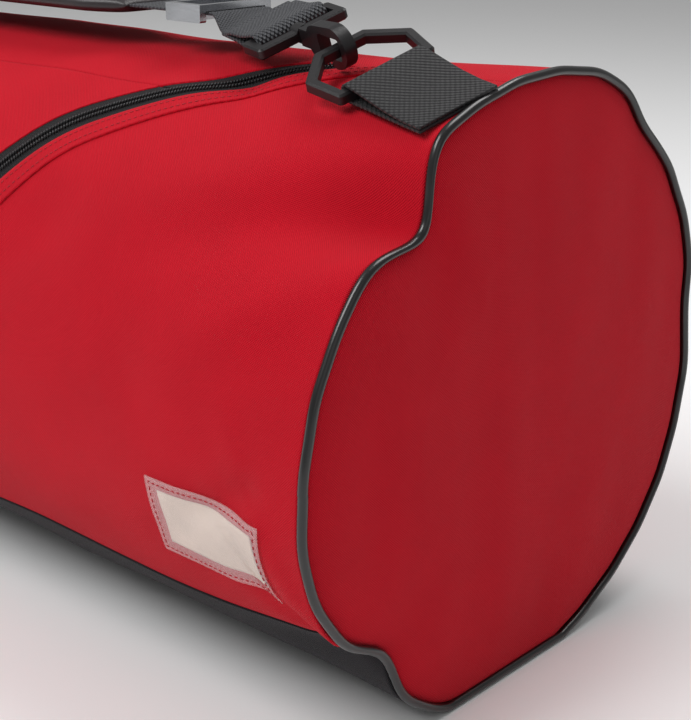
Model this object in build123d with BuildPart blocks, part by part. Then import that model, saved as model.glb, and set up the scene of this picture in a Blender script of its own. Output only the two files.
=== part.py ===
"""Round sports holdall for a bowling ball and kit.

A fabric barrel lies along X and rests on its flattened base.  A zip closes a curved mouth on the
front, piping rims both ends, and a padded shoulder strap clips to a ring at each end.
Millimetres, +Z up, origin on the floor under the middle of the barrel, front towards -Y.
"""
import os
from math import cos, degrees, radians, sin, sqrt

from build123d import *

os.makedirs("parts", exist_ok=True)

# ---- driving dimensions -------------------------------------------------------------------
barrel_radius = 140.0  # outer face of the round fabric wall
overall_length = 680.0  # crown to crown of the two end panels
base_flat_depth = 4.0  # how far the loaded base is pressed flat
fabric = 1.6  # coated polyester with its backing
gap = 0.3  # clear space left between neighbouring pieces
seat = 0.1  # space left under a sheet that lies on another

end_crown = 7.0  # bulge of an end panel at its middle
piping_radius = 2.0
piping_proud = 1.5  # how far the bead stands out past the round wall
binding_width = 9.0
binding_thickness = 1.2

base_edge_angle = -38.0  # upper front edge of the base panel, in degrees above level
base_rear_angle = 222.0  # upper rear edge of the base panel
board_thickness = 3.0
board_width = 120.0
board_end_clearance = 14.0
board_corner = 12.0

# zip and mouth
mouth_facing_angle = 55.0  # direction that the mouth faces
zip_front_angle = 31.0  # where the straight run of the zip lies on the front
zip_front_half = 88.0  # half the straight run, to its corner
zip_bend_x = 128.0  # where the rising run becomes flatter
zip_bend_angle = 51.8
zip_top_half = 238.0  # half the mouth's length where the zip ends
zip_top_angle = 83.0  # where the zip ends, just in front of the top line
zip_corner_radius = 40.0
zip_bend_radius = 120.0
zip_gap_half = 8.75  # half the black width between the fabric edges
tape_reach = 14.0  # from the middle of the zip to the tape's sewn edge
tape_thickness = 0.7
coil_inner = 0.8  # from the middle of the zip to the coil
coil_width = 2.4
coil_height = 2.4
facing_reach = 21.0  # to the stitch line of the facing below the zip
facing_thickness = 0.8
flap_hinge_angle = 65.5  # line along which the unzipped flap folds back

# zip sliders
slider_length = 12.0
slider_width = 11.0
slider_plate = 1.2
slider_play = 0.4
slider_rest = 8.0  # middle of a closed slider from the middle of the bag
post_width = 1.0
post_length = 3.0
bail_height = 3.2
bail_length = 5.0
bail_width = 4.0
bail_pin_radius = 0.8
bail_pin_play = 0.06
pull_length = 32.0
pull_width = 8.0
pull_thickness = 1.8

# identity window
window_centre_x = 274.0
window_length = 72.0
window_low_angle = -24.0
window_high_angle = -8.0
window_thickness = 0.6
card_thickness = 0.4
card_inset = 6.0

# webbing tab and ring
tab_angle = 69.5  # where the tab is sewn in at the end seam
tab_yaw = 15.0  # the strap draws the tab towards the back
tab_width = 40.0
webbing = 1.4  # thickness of one layer
tab_reach = 52.0  # from the seam to the ring's bar
ring_bar = 4.8
ring_inner_width = 41.0
ring_length = 31.0  # between the middles of the near and far bars
ring_far_half = 12.0
ring_shoulder = 17.0
ring_flare = 3.0
ring_tilt = 10.0
ring_corner_radius = 2.0
ring_edge = 0.9
loop_play = 0.4
loop_lift = 5.8  # bar's middle above the fabric
loop_run = 14.0  # from the bar back to where the tab's two layers meet

# swivel hook
hook_thickness = 6.0
hook_throat = 5.2  # inner radius round the ring's bar
hook_wall = 4.4
hook_play = 0.5  # between the ring's bar and the end of the throat
hook_corner = 1.8
hook_eye = 13.0  # length of the hook's eye behind the bar
hook_shank_end = 27.0
hook_shank_height = 8.4
stem_radius = 2.6
stem_head_radius = 4.0
stem_head = 2.0
stem_play = 0.1
gate_height = 3.0
gate_width = 3.0
gate_knuckle = 2.0
gate_pin_radius = 0.9
gate_pin_play = 0.06
gate_gap = 0.35
gate_mouth = 3.4  # from the throat's middle to the nose's tip

# swivel base, webbing, adjuster and pad
strap_width = 38.0
frame_bar = 4.6
frame_slot = 5.4
frame_thickness = 5.0
frame_edge = 0.8
boss_radius = 4.4
strap_y = -6.0
strap_height = 156.0  # webbing's middle above the barrel's axis
strap_level_half = 168.0  # half the level run of webbing
adjuster_x = 148.0
adjuster_length = 24.0
adjuster_bar = 3.0
adjuster_rail = 4.0
adjuster_play = 0.5
pad_half_length = 104.0
pad_width = 62.0
pad_thickness = 9.0
pad_taper = 30.0
pad_end_width = 46.0
pad_edge = 3.0
pad_slot_play = 0.6

# ---- derived places -----------------------------------------------------------------------
axis_height = barrel_radius - base_flat_depth
seam_x = overall_length / 2 - end_crown  # outer face of an end panel's rim
piping_x = seam_x
wall_end_x = piping_x - piping_radius - gap
rim_radius = barrel_radius + piping_proud - 2 * piping_radius - gap
rim_floor = barrel_radius - base_flat_depth - 2 * piping_radius - gap
tape_radius = barrel_radius - fabric - gap
coil_radius = tape_radius + seat + coil_height
seam_half_deg = degrees(gap / 2 / barrel_radius)
tape_end_angle = zip_top_angle - 1.0
coil_outer = coil_inner + coil_width

facing_low = zip_front_angle - 12.0
facing_radius = barrel_radius + seat + facing_thickness
crown_radius = rim_radius * 0.62
card_inset_angle = degrees(card_inset / barrel_radius)
slider_top = coil_radius - barrel_radius + slider_play
slider_low = tape_radius - tape_thickness - barrel_radius - slider_play
ear_width = 1.2
ear_radius = 1.5
ear_offset = bail_width / 2 + gap + ear_width / 2
pull_start = bail_length / 2 + slider_play
pull_height = slider_top + slider_plate + bail_height / 2 + gap
loop_radius = ring_bar / 2 * sqrt(2) + loop_play
ring_half = (ring_inner_width + ring_bar) / 2

section_plane = Plane((0, 0, axis_height), x_dir=(0, 1, 0), z_dir=(1, 0, 0))
mouth_normal = (0, -cos(radians(mouth_facing_angle)), sin(radians(mouth_facing_angle)))
mouth_plane = Plane((0, 0, axis_height), x_dir=(1, 0, 0), z_dir=mouth_normal)


def on_barrel(angle, x=0.0, lift=0.0):
    """Point over the round wall, with the lift measured from its outer face."""
    reach = barrel_radius + lift
    return Vector(x, -reach * cos(radians(angle)), axis_height + reach * sin(radians(angle)))


def outward(angle):
    """Direction that the wall faces at an angle."""
    return Vector(0, -cos(radians(angle)), sin(radians(angle)))


def slider_depth(lift):
    """Distance along the mouth's direction of a lift above the wall at the front zip run."""
    turn = radians(zip_front_angle - mouth_facing_angle)
    return (barrel_radius * cos(turn)) + lift / cos(turn)


slider_plane = Plane(on_barrel(zip_front_angle), x_dir=(1, 0, 0), z_dir=outward(zip_front_angle))
pull_plane = slider_plane.offset(pull_height)
pull_pin_plane = Plane(
    on_barrel(zip_front_angle, slider_rest, pull_height),
    x_dir=(1, 0, 0),
    z_dir=slider_plane.y_dir,
)

# the ring, hook and strap end share one line that leaves the end seam at a slant
tab_normal = outward(tab_angle)
up_round = Vector(0, sin(radians(tab_angle)), cos(radians(tab_angle)))
tab_along = Vector(-1, 0, 0) * cos(radians(tab_yaw)) + up_round * sin(radians(tab_yaw))
tab_across = tab_along.cross(tab_normal)
tab_root = on_barrel(tab_angle, seam_x)
hardware_plane = Plane(tab_root, x_dir=tab_along, z_dir=tab_across)
ring_along = tab_along * cos(radians(ring_tilt)) + tab_normal * sin(radians(ring_tilt))
ring_normal = tab_across.cross(ring_along)
ring_plane = Plane(
    tab_root + tab_along * tab_reach + tab_normal * loop_lift,
    x_dir=ring_along,
    z_dir=ring_normal,
)


def rise(angle):
    """Height of an angle on the barrel, measured across the direction the mouth faces."""
    return barrel_radius * sin(radians(angle - mouth_facing_angle))


# along the slanted line, measured from the end seam
bar_along = tab_reach + ring_length * cos(radians(ring_tilt))
bar_lift = loop_lift + ring_length * sin(radians(ring_tilt))
throat_low = bar_lift - hook_throat
hook_along = bar_along + hook_throat - ring_bar / 2 - hook_play
gate_hinge_along = hook_along + hook_eye + gate_knuckle
gate_hinge_lift = throat_low - gate_height / 2
gate_start = hook_along + gate_mouth
shank_end = hook_along + hook_shank_end
stem_length = frame_bar + 2 * gap
frame_start = shank_end + gap
frame_opening = stem_head + frame_slot
frame_length = 2 * frame_bar + frame_opening
loop_centre = frame_start + frame_length - frame_bar / 2
strap_loop_radius = sqrt(frame_bar**2 + frame_thickness**2) / 2 + gap
frame_width = strap_width + 2 * adjuster_play + 2 * frame_bar
frame_plane = Plane(
    tab_root + tab_normal * bar_lift,
    x_dir=tab_along,
    z_dir=tab_normal,
)
swivel_plane = Plane(
    tab_root + tab_normal * bar_lift + tab_along * shank_end,
    x_dir=tab_across,
    z_dir=tab_along,
)
strap_level = axis_height + strap_height
gate_hinge_plane = Plane(
    tab_root + tab_along * gate_hinge_along + tab_normal * gate_hinge_lift,
    x_dir=tab_along,
    z_dir=tab_across,
)
strap_end_plane = Plane(
    tab_root
    + tab_along * (loop_centre + strap_loop_radius + webbing + frame_edge)
    + tab_normal * bar_lift,
    x_dir=tab_across,
    z_dir=tab_along,
)
adjuster_rail_y = strap_width / 2 + adjuster_play + adjuster_rail / 2
pad_straight_half = pad_half_length - pad_taper


# ---- shared shapes ------------------------------------------------------------------------
def outline(radius, floor=None):
    """Round section flattened underneath, drawn in the current sketch."""
    Circle(radius)
    with Locations((0, -(radius - base_flat_depth if floor is None else floor))):
        Rectangle(4 * radius, radius, align=(Align.CENTER, Align.MAX), mode=Mode.SUBTRACT)


def add_wall(start, end, outer, thickness, half_length, middle_x=0.0):
    """Sheet bent round the barrel between two angles above the level front."""
    steps = 6
    reach = 3 * barrel_radius
    angles = [radians(start + (end - start) * i / steps) for i in range(steps + 1)]
    fan = [(-reach * cos(a), reach * sin(a)) for a in angles]
    with BuildSketch(section_plane.offset(middle_x)) as section:
        outline(outer)
        offset(amount=-thickness, kind=Kind.INTERSECTION, mode=Mode.SUBTRACT)
        with BuildLine():
            Polyline((0, 0), *fan, close=True)
        make_face(mode=Mode.INTERSECT)
    extrude(section.sketch, amount=half_length, both=True)


def cut_mouth(grow, mode, hole=None):
    """Prism over the mouth, its edge moved out by grow, with an inner edge at hole."""
    low = rise(zip_front_angle)
    slope = (rise(zip_top_angle) - rise(zip_bend_angle)) / (zip_top_half - zip_bend_x)
    beyond = 30.0
    right = [
        (zip_front_half, low),
        (zip_bend_x, rise(zip_bend_angle)),
        (zip_top_half + beyond, rise(zip_top_angle) + beyond * slope),
    ]
    left = [(-x, y) for x, y in reversed(right)]
    with BuildSketch(mouth_plane) as mouth:
        with BuildLine():
            edge = FilletPolyline(
                *left,
                *right,
                radius=[zip_bend_radius, zip_corner_radius, zip_corner_radius, zip_bend_radius],
            )
            Line(edge @ 0, edge @ 1)
        make_face()
        face = mouth.sketch_local
        if grow:
            offset(face, amount=grow, kind=Kind.INTERSECTION, mode=Mode.REPLACE)
        if hole is not None:
            if hole:
                offset(face, amount=hole, kind=Kind.INTERSECTION, mode=Mode.SUBTRACT)
            else:
                add(face, mode=Mode.SUBTRACT)
    extrude(mouth.sketch, amount=2 * barrel_radius, mode=mode)


def finish(piece, name):
    """Name a finished piece and write it out."""
    piece.part.label = name
    export_step(piece.part, f"parts/{name}.step")


def mirrored(piece, name):
    """Write the left twin of a right-hand piece."""
    with BuildPart() as twin:
        mirror(piece.part, about=Plane.YZ)
    finish(twin, name)
    return twin


# ---- barrel panels ------------------------------------------------------------------------
with BuildPart() as front_panel:
    add_wall(
        base_edge_angle + seam_half_deg,
        zip_top_angle - seam_half_deg,
        barrel_radius,
        fabric,
        wall_end_x,
    )
    cut_mouth(zip_gap_half, Mode.SUBTRACT)
finish(front_panel, "front_panel")

with BuildPart() as top_tongue:
    add_wall(flap_hinge_angle + seam_half_deg, zip_top_angle, barrel_radius, fabric, wall_end_x)
    cut_mouth(-zip_gap_half, Mode.INTERSECT)

with BuildPart() as back_panel:
    add_wall(
        zip_top_angle,
        base_rear_angle - seam_half_deg,
        barrel_radius,
        fabric,
        wall_end_x,
    )
    add(top_tongue.part)
finish(back_panel, "back_panel")

with BuildPart() as mouth_flap:
    add_wall(
        zip_front_angle - 10,
        flap_hinge_angle - seam_half_deg,
        barrel_radius,
        fabric,
        wall_end_x,
    )
    cut_mouth(-zip_gap_half, Mode.INTERSECT)
finish(mouth_flap, "mouth_flap")

with BuildPart() as base_panel:
    add_wall(
        base_rear_angle + seam_half_deg,
        360 + base_edge_angle - seam_half_deg,
        barrel_radius,
        fabric,
        wall_end_x,
    )
finish(base_panel, "base_panel")

with BuildPart() as base_board:
    inner_radius = barrel_radius - fabric - gap
    board_low = axis_height - sqrt(inner_radius**2 - (board_width / 2) ** 2)
    with BuildSketch(Plane.XY.offset(board_low)):
        RectangleRounded(2 * (wall_end_x - board_end_clearance), board_width, board_corner)
    extrude(amount=board_thickness)
finish(base_board, "base_board")

# ---- ends ---------------------------------------------------------------------------------
with BuildPart() as end_dome:
    with BuildSketch(section_plane.offset(seam_x - fabric)):
        outline(rim_radius, rim_floor)
    with BuildSketch(section_plane.offset(seam_x - fabric + end_crown)):
        outline(crown_radius)
    loft()

with BuildPart() as right_end_panel:
    with BuildSketch(section_plane.offset(seam_x - fabric)):
        outline(rim_radius, rim_floor)
    extrude(amount=fabric)
    add(end_dome.part.moved(Location((fabric, 0, 0))))
    add(end_dome.part, mode=Mode.SUBTRACT)
finish(right_end_panel, "right_end_panel")
mirrored(right_end_panel, "left_end_panel")

with BuildPart() as right_piping:
    with BuildSketch(section_plane.offset(piping_x - piping_radius)):
        outline(barrel_radius + piping_proud, barrel_radius - base_flat_depth)
        offset(amount=-2 * piping_radius, kind=Kind.INTERSECTION, mode=Mode.SUBTRACT)
    extrude(amount=2 * piping_radius)
    fillet(right_piping.edges().filter_by(GeomType.CIRCLE), 0.8 * piping_radius)
finish(right_piping, "right_piping")
mirrored(right_piping, "left_piping")

with BuildPart() as right_seam_binding:
    add_wall(
        0,
        360,
        barrel_radius - fabric - gap,
        binding_thickness,
        binding_width / 2,
        wall_end_x - binding_width / 2,
    )
finish(right_seam_binding, "right_seam_binding")
mirrored(right_seam_binding, "left_seam_binding")

# ---- zip ----------------------------------------------------------------------------------
with BuildPart() as zip_facing:
    add_wall(facing_low, tape_end_angle, facing_radius, facing_thickness, wall_end_x)
    cut_mouth(facing_reach, Mode.INTERSECT, hole=zip_gap_half)
finish(zip_facing, "zip_facing")

zip_sides = {
    "front": (facing_low, tape_end_angle, 1),
    "flap": (facing_low, flap_hinge_angle - seam_half_deg, -1),
    "top": (flap_hinge_angle + seam_half_deg, tape_end_angle, -1),
}
for side, (low_angle, high_angle, outward) in zip_sides.items():
    bands = [outward * coil_inner, outward * coil_outer, outward * tape_reach]
    with BuildPart() as zip_tape:
        add_wall(low_angle, high_angle, tape_radius, tape_thickness, wall_end_x)
        cut_mouth(max(bands[0], bands[2]), Mode.INTERSECT, hole=min(bands[0], bands[2]))
    finish(zip_tape, f"zip_tape_{side}")

    with BuildPart() as zip_coil:
        add_wall(low_angle, high_angle, coil_radius, coil_height, wall_end_x)
        cut_mouth(max(bands[:2]), Mode.INTERSECT, hole=min(bands[:2]))
    finish(zip_coil, f"zip_coil_{side}")

with BuildPart() as right_slider:
    with BuildSketch(slider_plane.offset(slider_top)):
        with Locations((slider_rest, 0)):
            RectangleRounded(slider_length, slider_width, slider_width / 4)
    extrude(amount=slider_plate)
    with BuildSketch(slider_plane.offset(slider_low)):
        with Locations((slider_rest, 0)):
            RectangleRounded(slider_length, slider_width, slider_width / 4)
    extrude(amount=-slider_plate)
    with BuildSketch(mouth_plane.offset(slider_depth(slider_low) - slider_plate / 2)):
        with Locations((slider_rest - (slider_length - post_length) / 2, rise(zip_front_angle))):
            Rectangle(post_length, post_width)
    extrude(amount=slider_depth(slider_top) - slider_depth(slider_low) + slider_plate)
    with BuildSketch(slider_plane.offset(slider_top + slider_plate)):
        with Locations((slider_rest, 0)):
            Rectangle(bail_length, bail_width)
    extrude(amount=bail_height)
    with Locations(pull_pin_plane.location):
        Cylinder(bail_pin_radius + bail_pin_play, 2 * bail_width, mode=Mode.SUBTRACT)
finish(right_slider, "right_slider")
mirrored(right_slider, "left_slider")

with BuildPart() as right_pull:
    with BuildSketch(pull_plane.offset(-pull_thickness / 2)):
        with Locations((slider_rest + pull_start + pull_length / 2, 0)):
            RectangleRounded(pull_length, pull_width, pull_width / 4)
        for side in (-1, 1):
            with Locations((slider_rest + pull_start / 2, side * ear_offset)):
                Rectangle(pull_start + pull_width / 4, ear_width)
    extrude(amount=pull_thickness)
    for side in (-1, 1):
        with Locations(pull_pin_plane.offset(side * ear_offset).location):
            Cylinder(ear_radius, ear_width)
    with Locations(pull_pin_plane.location):
        Cylinder(bail_pin_radius, 2 * ear_offset)
finish(right_pull, "right_pull")
mirrored(right_pull, "left_pull")

# ---- identity window ----------------------------------------------------------------------
with BuildPart() as id_card:
    add_wall(
        window_low_angle + card_inset_angle,
        window_high_angle - card_inset_angle,
        barrel_radius + seat + card_thickness,
        card_thickness,
        window_length / 2 - card_inset,
        window_centre_x,
    )
finish(id_card, "id_card")

with BuildPart() as id_window:
    add_wall(
        window_low_angle,
        window_high_angle,
        barrel_radius + 2 * seat + card_thickness + window_thickness,
        window_thickness,
        window_length / 2,
        window_centre_x,
    )
finish(id_window, "id_window")

# ---- ring tab and ring --------------------------------------------------------------------
with BuildPart() as right_ring_tab:
    with BuildSketch(hardware_plane):
        with Locations((tab_reach, loop_lift)):
            Circle(loop_radius + webbing)
        with Locations((tab_reach - loop_run, gap + webbing)):
            Circle(webbing)
        make_hull()
        with Locations((tab_reach - loop_run, gap)):
            Rectangle(tab_reach, 2 * webbing, align=(Align.MAX, Align.MIN))
        with Locations((tab_reach, loop_lift)):
            Circle(loop_radius, mode=Mode.SUBTRACT)
    extrude(amount=tab_width / 2, both=True)
    split(bisect_by=Plane((wall_end_x - gap, 0, 0), z_dir=(1, 0, 0)), keep=Keep.BOTTOM)
finish(right_ring_tab, "right_ring_tab")
mirrored(right_ring_tab, "left_ring_tab")

with BuildPart() as right_ring:
    with BuildSketch(ring_plane) as ring:
        with BuildLine():
            Polyline(
                (0, -ring_half),
                (ring_shoulder, -ring_half - ring_flare),
                (ring_length, -ring_far_half),
                (ring_length, ring_far_half),
                (ring_shoulder, ring_half + ring_flare),
                (0, ring_half),
                close=True,
            )
        make_face()
        middle = ring.sketch_local
        offset(middle, amount=ring_bar / 2, kind=Kind.INTERSECTION, mode=Mode.REPLACE)
        fillet(ring.vertices(), ring_corner_radius)
        offset(middle, amount=-ring_bar / 2, kind=Kind.INTERSECTION, mode=Mode.SUBTRACT)
    extrude(amount=ring_bar / 2, both=True)
    chamfer(right_ring.faces().sort_by(Axis(ring_plane.origin, ring_plane.z_dir))[-1].edges(), ring_edge)
finish(right_ring, "right_ring")
mirrored(right_ring, "left_ring")

# ---- swivel hook --------------------------------------------------------------------------
with BuildPart() as right_hook:
    with BuildSketch(hardware_plane) as hook:
        with Locations((hook_along, bar_lift)):
            Circle(hook_throat + hook_wall)
        with Locations((hook_along + hook_eye, bar_lift)):
            Circle(hook_throat + hook_wall * 0.7)
        make_hull()
        with Locations((hook_along + hook_eye, bar_lift)):
            Rectangle(
                hook_shank_end - hook_eye, hook_shank_height, align=(Align.MIN, Align.CENTER)
            )
        with Locations((hook_along + hook_eye / 4, bar_lift)):
            RectangleRounded(
                2 * hook_throat + hook_eye / 2,
                2 * hook_throat,
                hook_corner,
                mode=Mode.SUBTRACT,
            )
        with Locations((gate_start, throat_low + gate_gap)):
            Rectangle(
                hook_eye - gate_mouth - gate_knuckle / 2,
                2 * hook_wall,
                align=(Align.MIN, Align.MAX),
                mode=Mode.SUBTRACT,
            )
    extrude(amount=hook_thickness / 2, both=True)
    with BuildSketch(hardware_plane):
        with Locations((gate_start, throat_low + 2 * gate_gap)):
            Rectangle(
                gate_hinge_along - gate_start + gate_knuckle + 2 * gate_gap,
                2 * hook_wall + 2 * gate_gap,
                align=(Align.MIN, Align.MAX),
            )
    extrude(amount=gate_width / 2 + gate_gap, both=True, mode=Mode.SUBTRACT)
    with Locations(gate_hinge_plane.location):
        Cylinder(gate_pin_radius + gate_pin_play, 2 * hook_thickness, mode=Mode.SUBTRACT)
    with Locations(swivel_plane.location):
        Cylinder(stem_radius, stem_length, align=(Align.CENTER, Align.CENTER, Align.MIN))
    with Locations(swivel_plane.offset(stem_length).location):
        Cylinder(stem_head_radius, stem_head, align=(Align.CENTER, Align.CENTER, Align.MIN))
finish(right_hook, "right_hook")
mirrored(right_hook, "left_hook")

with BuildPart() as right_gate:
    with BuildSketch(hardware_plane):
        with Locations((gate_start + gate_gap, gate_hinge_lift)):
            Rectangle(
                gate_hinge_along - gate_start - gate_gap,
                gate_height,
                align=(Align.MIN, Align.CENTER),
            )
        with Locations((gate_hinge_along, gate_hinge_lift)):
            Circle(gate_knuckle)
    extrude(amount=gate_width / 2, both=True)
    with Locations(gate_hinge_plane.location):
        Cylinder(gate_pin_radius, hook_thickness)
finish(right_gate, "right_gate")
mirrored(right_gate, "left_gate")

with BuildPart() as right_swivel_base:
    with BuildSketch(frame_plane):
        with Locations((frame_start + frame_length / 2, 0)):
            RectangleRounded(frame_length, frame_width, frame_bar / 2)
        with Locations((frame_start + frame_bar + frame_opening / 2, 0)):
            Rectangle(frame_opening, frame_width - 2 * frame_bar, mode=Mode.SUBTRACT)
    extrude(amount=frame_thickness / 2, both=True)
    chamfer(right_swivel_base.edges().group_by(SortBy.LENGTH)[-1], frame_edge)
    with Locations(swivel_plane.location):
        Cylinder(
            boss_radius,
            gap + frame_bar,
            align=(Align.CENTER, Align.CENTER, Align.MIN),
        )
    with Locations(swivel_plane.location):
        Cylinder(boss_radius, 2 * gap, mode=Mode.SUBTRACT)
        Cylinder(stem_radius + stem_play, 4 * frame_bar, mode=Mode.SUBTRACT)
finish(right_swivel_base, "right_swivel_base")
mirrored(right_swivel_base, "left_swivel_base")

# ---- shoulder strap -----------------------------------------------------------------------
loop_end = strap_loop_radius + webbing
with BuildPart() as strap_end:
    with BuildSketch(hardware_plane):
        with Locations((loop_centre, bar_lift)):
            Circle(loop_end)
        with Locations((loop_centre + loop_end, bar_lift)):
            Rectangle(loop_end, webbing)
        with Locations((loop_centre, bar_lift)):
            Circle(strap_loop_radius, mode=Mode.SUBTRACT)
    extrude(amount=strap_width / 2, both=True)
    with BuildSketch(strap_end_plane):
        Rectangle(strap_width, webbing)
    with BuildSketch(Plane((strap_level_half, strap_y, strap_level), (0, 1, 0), (-1, 0, 0))):
        Rectangle(strap_width, webbing)
    loft(ruled=True)

with BuildPart() as strap_webbing:
    with Locations((0, strap_y, strap_level)):
        Box(2 * strap_level_half, strap_width, webbing)
    add(strap_end.part)
    mirror(strap_end.part, about=Plane.YZ)
finish(strap_webbing, "strap_webbing")

with BuildPart() as right_adjuster:
    rail_height = webbing + 2 * (adjuster_play + adjuster_bar)
    for side in (-1, 1):
        with Locations((adjuster_x, strap_y + side * adjuster_rail_y, strap_level)):
            Box(adjuster_length, adjuster_rail, rail_height)
    bar_x = (adjuster_length - adjuster_bar) / 2
    bar_z = (webbing + adjuster_bar) / 2 + adjuster_play
    with Locations(
        (adjuster_x - bar_x, strap_y, strap_level + bar_z),
        (adjuster_x, strap_y, strap_level - bar_z),
        (adjuster_x + bar_x, strap_y, strap_level + bar_z),
    ):
        Box(adjuster_bar, 2 * adjuster_rail_y, adjuster_bar)
    fillet(right_adjuster.edges().filter_by(Axis.Y).group_by(SortBy.LENGTH)[0], 1.0)
finish(right_adjuster, "right_adjuster")
mirrored(right_adjuster, "left_adjuster")

with BuildPart() as shoulder_pad:
    with BuildSketch(Plane.XY.offset(strap_level - pad_thickness / 2)):
        with BuildLine():
            right_edge = [
                (pad_half_length, -pad_end_width / 2),
                (pad_half_length, pad_end_width / 2),
            ]
            Polyline(
                *[(x, strap_y + y) for x, y in right_edge],
                *[(x, strap_y + pad_width / 2) for x in (pad_straight_half, -pad_straight_half)],
                *[(-x, strap_y - y) for x, y in right_edge],
                *[(x, strap_y - pad_width / 2) for x in (-pad_straight_half, pad_straight_half)],
                close=True,
            )
        make_face()
    extrude(amount=pad_thickness)
    fillet(shoulder_pad.edges().filter_by(Axis.Z), 6)
    fillet(shoulder_pad.faces().filter_by(Axis.Z).edges(), pad_edge)
    with Locations((0, strap_y, strap_level)):
        Box(
            3 * pad_half_length,
            strap_width + 2 * pad_slot_play,
            webbing + 2 * pad_slot_play,
            mode=Mode.SUBTRACT,
        )
finish(shoulder_pad, "shoulder_pad")
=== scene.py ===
"""Looks of a round red sports holdall: cloth barrel, piping, zip, ring tabs and shoulder strap."""
from math import asin, cos, degrees, exp, pi, radians, sin, sqrt

import bmesh
import bpy
from bpy.props import FloatProperty, FloatVectorProperty, PointerProperty
from mathutils import Matrix, Vector, noise


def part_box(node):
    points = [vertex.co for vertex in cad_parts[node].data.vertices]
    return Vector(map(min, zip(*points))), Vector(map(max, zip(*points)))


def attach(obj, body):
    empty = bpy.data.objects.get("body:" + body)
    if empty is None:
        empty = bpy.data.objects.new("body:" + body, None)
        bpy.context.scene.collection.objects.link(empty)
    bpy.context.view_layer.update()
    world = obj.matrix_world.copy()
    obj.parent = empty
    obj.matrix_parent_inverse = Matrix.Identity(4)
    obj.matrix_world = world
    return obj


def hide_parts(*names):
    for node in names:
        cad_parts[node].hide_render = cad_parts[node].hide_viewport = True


bl_info = {
    "name": "Round holdall",
    "version": (1, 0, 0),
    "blender": (4, 5, 0),
    "location": "View3D > Sidebar > Holdall",
    "description": "Builds the cloth, zip, hardware finishes and stage of a round holdall",
    "category": "Object",
}

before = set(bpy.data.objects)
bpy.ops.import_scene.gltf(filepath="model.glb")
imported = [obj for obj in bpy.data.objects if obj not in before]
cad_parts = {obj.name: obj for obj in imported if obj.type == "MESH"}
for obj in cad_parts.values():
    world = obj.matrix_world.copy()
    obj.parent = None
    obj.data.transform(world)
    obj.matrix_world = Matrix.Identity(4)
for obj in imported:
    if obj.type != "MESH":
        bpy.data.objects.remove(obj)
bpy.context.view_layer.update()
MM = 0.001


# ---- measures taken from the frame, in metres ----------------------------------------------
WALL_HIGH = Vector(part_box("back_panel")[1])
PIPE_LOW, PIPE_HIGH = (Vector(corner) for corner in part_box("right_piping"))
END_HIGH = Vector(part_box("right_end_panel")[1])
AXIS_Z = PIPE_HIGH.z - PIPE_HIGH.y
RADIUS = PIPE_HIGH.y - 1.5 * MM
WALL_END = WALL_HIGH.x
SEAM_X = (PIPE_LOW.x + PIPE_HIGH.x) / 2
CLOTH = 1.6 * MM

# ---- places on the bag: angles in degrees above the level front ----------------------------
BASE_FRONT = -38.0
BASE_REAR = 222.0
TOP_LINE = 83.0
FLAP_FOLD = 65.5
MOUTH_FACING = 55.0
ZIP_FRONT = 31.0
ZIP_BEND = 51.8
ZIP_FRONT_HALF = 88.0 * MM
ZIP_BEND_X = 128.0 * MM
ZIP_TOP_HALF = 238.0 * MM
ZIP_GAP = 8.75 * MM
FACING_REACH = 21.0 * MM
TAPE_REACH = 14.0 * MM

TAB_ANGLE = 69.5
TAB_YAW = 15.0
# the strap's end loop, along the tab's line from the seam and off the cloth
LOOP_ALONG = 126.4 * MM
LOOP_LIFT = 11.2 * MM
LOOP_RADIUS = 4.4 * MM
STRAP_WIDTH = 38 * MM
TAB_WIDTH = 40 * MM
PAD_TAPER = 30 * MM
PAD_END_HALF = 23 * MM
COIL_OFFSET = 1.9 * MM
BINDING_LIFT = -1.9 * MM
BINDING_ROWS = 201


def rgb(code):
    """Linear colour of an sRGB hex code."""
    parts = [int(code[i : i + 2], 16) / 255 for i in (1, 3, 5)]
    return tuple(c / 12.92 if c <= 0.04045 else ((c + 0.055) / 1.055) ** 2.4 for c in parts)


# ---- sizes and colours a user may change --------------------------------------------------
class HoldallCloth(bpy.types.PropertyGroup):
    """Cloth colours and how soft the bag hangs."""

    red: FloatVectorProperty(
        name="Red cloth",
        description="Colour of the walls and ends",
        subtype="COLOR",
        size=3,
        min=0.0,
        max=1.0,
        default=rgb("#d20020"),
    )
    black: FloatVectorProperty(
        name="Black cloth",
        description="Colour of the base and zip tape",
        subtype="COLOR",
        size=3,
        min=0.0,
        max=1.0,
        default=rgb("#1d1a1f"),
    )
    fold_depth: FloatProperty(
        name="Fold depth",
        description="How deep the soft folds are, as a share of those of a half-full bag",
        default=1.0,
        min=0.0,
        max=1.5,
    )
    thread: FloatProperty(
        name="Thread spacing",
        description="Spacing of the drawn threads, coarser than real ones so that they show",
        default=0.0011,
        min=0.0003,
        subtype="DISTANCE",
        unit="LENGTH",
    )


class HoldallTrim(bpy.types.PropertyGroup):
    """Piping, webbing and hardware plastic."""

    piping: FloatProperty(
        name="Piping radius",
        description="Radius of the bead in the end seams",
        default=0.0021,
        min=0.001,
        subtype="DISTANCE",
        unit="LENGTH",
    )
    webbing: FloatProperty(
        name="Webbing thickness",
        description="Thickness of one layer of webbing",
        default=0.0015,
        min=0.0008,
        subtype="DISTANCE",
        unit="LENGTH",
    )
    plastic: FloatVectorProperty(
        name="Hardware plastic",
        description="Colour of rings and hooks",
        subtype="COLOR",
        size=3,
        min=0.0,
        max=1.0,
        default=rgb("#171517"),
    )


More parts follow.
